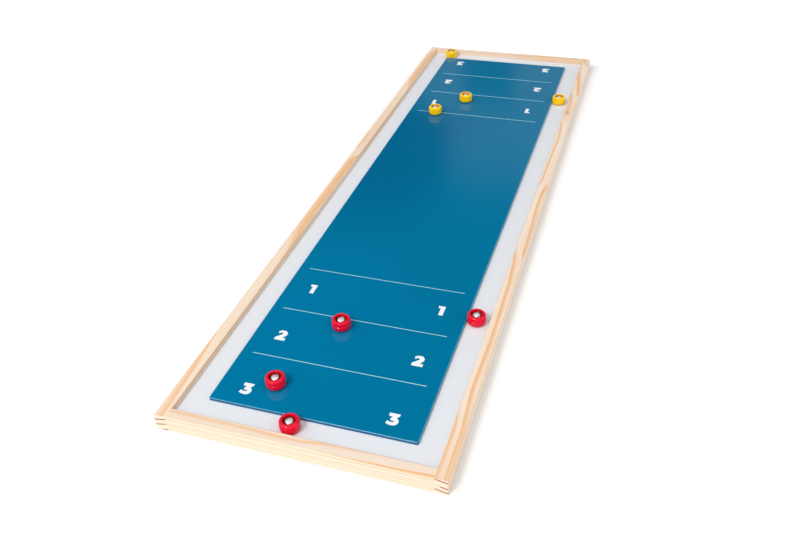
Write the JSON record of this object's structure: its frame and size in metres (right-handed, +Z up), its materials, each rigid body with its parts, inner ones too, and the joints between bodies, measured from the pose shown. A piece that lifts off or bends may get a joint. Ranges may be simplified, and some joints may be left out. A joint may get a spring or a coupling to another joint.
{
  "type": "tabletop shuffleboard game",
  "caption": "Long low pine tray with a raised blue playing board, a gutter round it and red and yellow pucks that roll on captive steel balls.",
  "frame": {"origin": "centre of the tray's underside, where it stands on a table", "axes": "+Y along the board, away from the near player; +X to that player's right; +Z up"},
  "size_m": [0.3, 1, 0.0287],
  "materials": {
    "pine": "clear varnished pine",
    "white_laminate": "hardboard with a matt white laminate",
    "blue_lacquer": "hardboard with a smooth satin blue lacquer",
    "red_plastic": "gloss",
    "yellow_plastic": "gloss",
    "steel_ball": "polished"
  },
  "bodies": {
    "tray": {"left_rail": "pine", "right_rail": "pine", "front_rail": "pine", "back_rail": "pine", "floor_panel": "white_laminate", "playing_board": "blue_lacquer"},
    "red_puck_1": {"red_puck_1_top": "red_plastic", "red_puck_1_bottom": "red_plastic"},
    "red_puck_1_ball": {"red_puck_1_ball": "steel_ball"},
    "red_puck_2": {"red_puck_2_top": "red_plastic", "red_puck_2_bottom": "red_plastic"},
    "red_puck_2_ball": {"red_puck_2_ball": "steel_ball"},
    "red_puck_3": {"red_puck_3_top": "red_plastic", "red_puck_3_bottom": "red_plastic"},
    "red_puck_3_ball": {"red_puck_3_ball": "steel_ball"},
    "red_puck_4": {"red_puck_4_top": "red_plastic", "red_puck_4_bottom": "red_plastic"},
    "red_puck_4_ball": {"red_puck_4_ball": "steel_ball"},
    "yellow_puck_1": {"yellow_puck_1_top": "yellow_plastic", "yellow_puck_1_bottom": "yellow_plastic"},
    "yellow_puck_1_ball": {"yellow_puck_1_ball": "steel_ball"},
    "yellow_puck_2": {"yellow_puck_2_top": "yellow_plastic", "yellow_puck_2_bottom": "yellow_plastic"},
    "yellow_puck_2_ball": {"yellow_puck_2_ball": "steel_ball"},
    "yellow_puck_3": {"yellow_puck_3_top": "yellow_plastic", "yellow_puck_3_bottom": "yellow_plastic"},
    "yellow_puck_3_ball": {"yellow_puck_3_ball": "steel_ball"},
    "yellow_puck_4": {"yellow_puck_4_top": "yellow_plastic", "yellow_puck_4_bottom": "yellow_plastic"},
    "yellow_puck_4_ball": {"yellow_puck_4_ball": "steel_ball"}
  },
  "joints": [
    {"name": "red_puck_1_slide", "type": "slide", "parent": "tray", "child": "red_puck_1", "axis": [0.0628, 0.998, 0], "range_m": [-0.1275, 0.7751]},
    {"name": "red_puck_1_ball_roll", "type": "hinge", "parent": "red_puck_1", "child": "red_puck_1_ball", "pos_m": [-0.01945, -0.32316, 0.02195], "axis": [-0.998, 0.0628, 0], "continuous": true},
    {"name": "red_puck_2_slide", "type": "slide", "parent": "tray", "child": "red_puck_2", "axis": [0.0645, 0.9979, 0], "range_m": [-0.024, 0.8787]},
    {"name": "red_puck_2_ball_roll", "type": "hinge", "parent": "red_puck_2", "child": "red_puck_2_ball", "pos_m": [-0.05138, -0.42642, 0.02195], "axis": [-0.9979, 0.0645, 0], "continuous": true},
    {"name": "red_puck_3_slide", "type": "slide", "parent": "tray", "child": "red_puck_3", "axis": [0, 1, 0], "range_m": [-0.2037, 0.282]},
    {"name": "red_puck_3_ball_roll", "type": "hinge", "parent": "red_puck_3", "child": "red_puck_3_ball", "pos_m": [0.12145, -0.27245, 0.01835], "axis": [-1, 0, 0], "continuous": true},
    {"name": "red_puck_4_slide", "type": "slide", "parent": "tray", "child": "red_puck_4", "axis": [1, 0, 0], "range_m": [-0.1116, 0.1141]},
    {"name": "red_puck_4_ball_roll", "type": "hinge", "parent": "red_puck_4", "child": "red_puck_4_ball", "pos_m": [-0.01459, -0.4745, 0.01835], "axis": [0, 1, 0], "continuous": true},
    {"name": "yellow_puck_1_slide", "type": "slide", "parent": "tray", "child": "yellow_puck_1", "axis": [0.0645, 0.9979, 0], "range_m": [-0.7341, 0.1686]},
    {"name": "yellow_puck_1_ball_roll", "type": "hinge", "parent": "yellow_puck_1", "child": "yellow_puck_1_ball", "pos_m": [-0.02928, 0.28213, 0.02195], "axis": [-0.9979, 0.0645, 0], "continuous": true},
    {"name": "yellow_puck_2_slide", "type": "slide", "parent": "tray", "child": "yellow_puck_2", "axis": [0.048, 0.9988, 0], "range_m": [-0.6757, 0.2262]},
    {"name": "yellow_puck_2_ball_roll", "type": "hinge", "parent": "yellow_puck_2", "child": "yellow_puck_2_ball", "pos_m": [-0.06597, 0.22451, 0.02195], "axis": [-0.9988, 0.048, 0], "continuous": true},
    {"name": "yellow_puck_3_slide", "type": "slide", "parent": "tray", "child": "yellow_puck_3", "axis": [0, 1, 0], "range_m": [-0.2824, 0.1618]},
    {"name": "yellow_puck_3_ball_roll", "type": "hinge", "parent": "yellow_puck_3", "child": "yellow_puck_3_ball", "pos_m": [0.12135, 0.3144, 0.01835], "axis": [-1, 0, 0], "continuous": true},
    {"name": "yellow_puck_4_slide", "type": "slide", "parent": "tray", "child": "yellow_puck_4", "axis": [1, 0, 0], "range_m": [-0.0216, 0.2041]},
    {"name": "yellow_puck_4_ball_roll", "type": "hinge", "parent": "yellow_puck_4", "child": "yellow_puck_4_ball", "pos_m": [-0.10464, 0.4735, 0.01835], "axis": [0, 1, 0], "continuous": true}
  ],
  "couplings": [
    {"joint": "red_puck_1_ball_roll", "follows": "red_puck_1_slide", "rad_per_m": 157.48},
    {"joint": "red_puck_2_ball_roll", "follows": "red_puck_2_slide", "rad_per_m": 157.48},
    {"joint": "red_puck_3_ball_roll", "follows": "red_puck_3_slide", "rad_per_m": 157.48},
    {"joint": "red_puck_4_ball_roll", "follows": "red_puck_4_slide", "rad_per_m": 157.48},
    {"joint": "yellow_puck_1_ball_roll", "follows": "yellow_puck_1_slide", "rad_per_m": 157.48},
    {"joint": "yellow_puck_2_ball_roll", "follows": "yellow_puck_2_slide", "rad_per_m": 157.48},
    {"joint": "yellow_puck_3_ball_roll", "follows": "yellow_puck_3_slide", "rad_per_m": 157.48},
    {"joint": "yellow_puck_4_ball_roll", "follows": "yellow_puck_4_slide", "rad_per_m": 157.48}
  ]
}
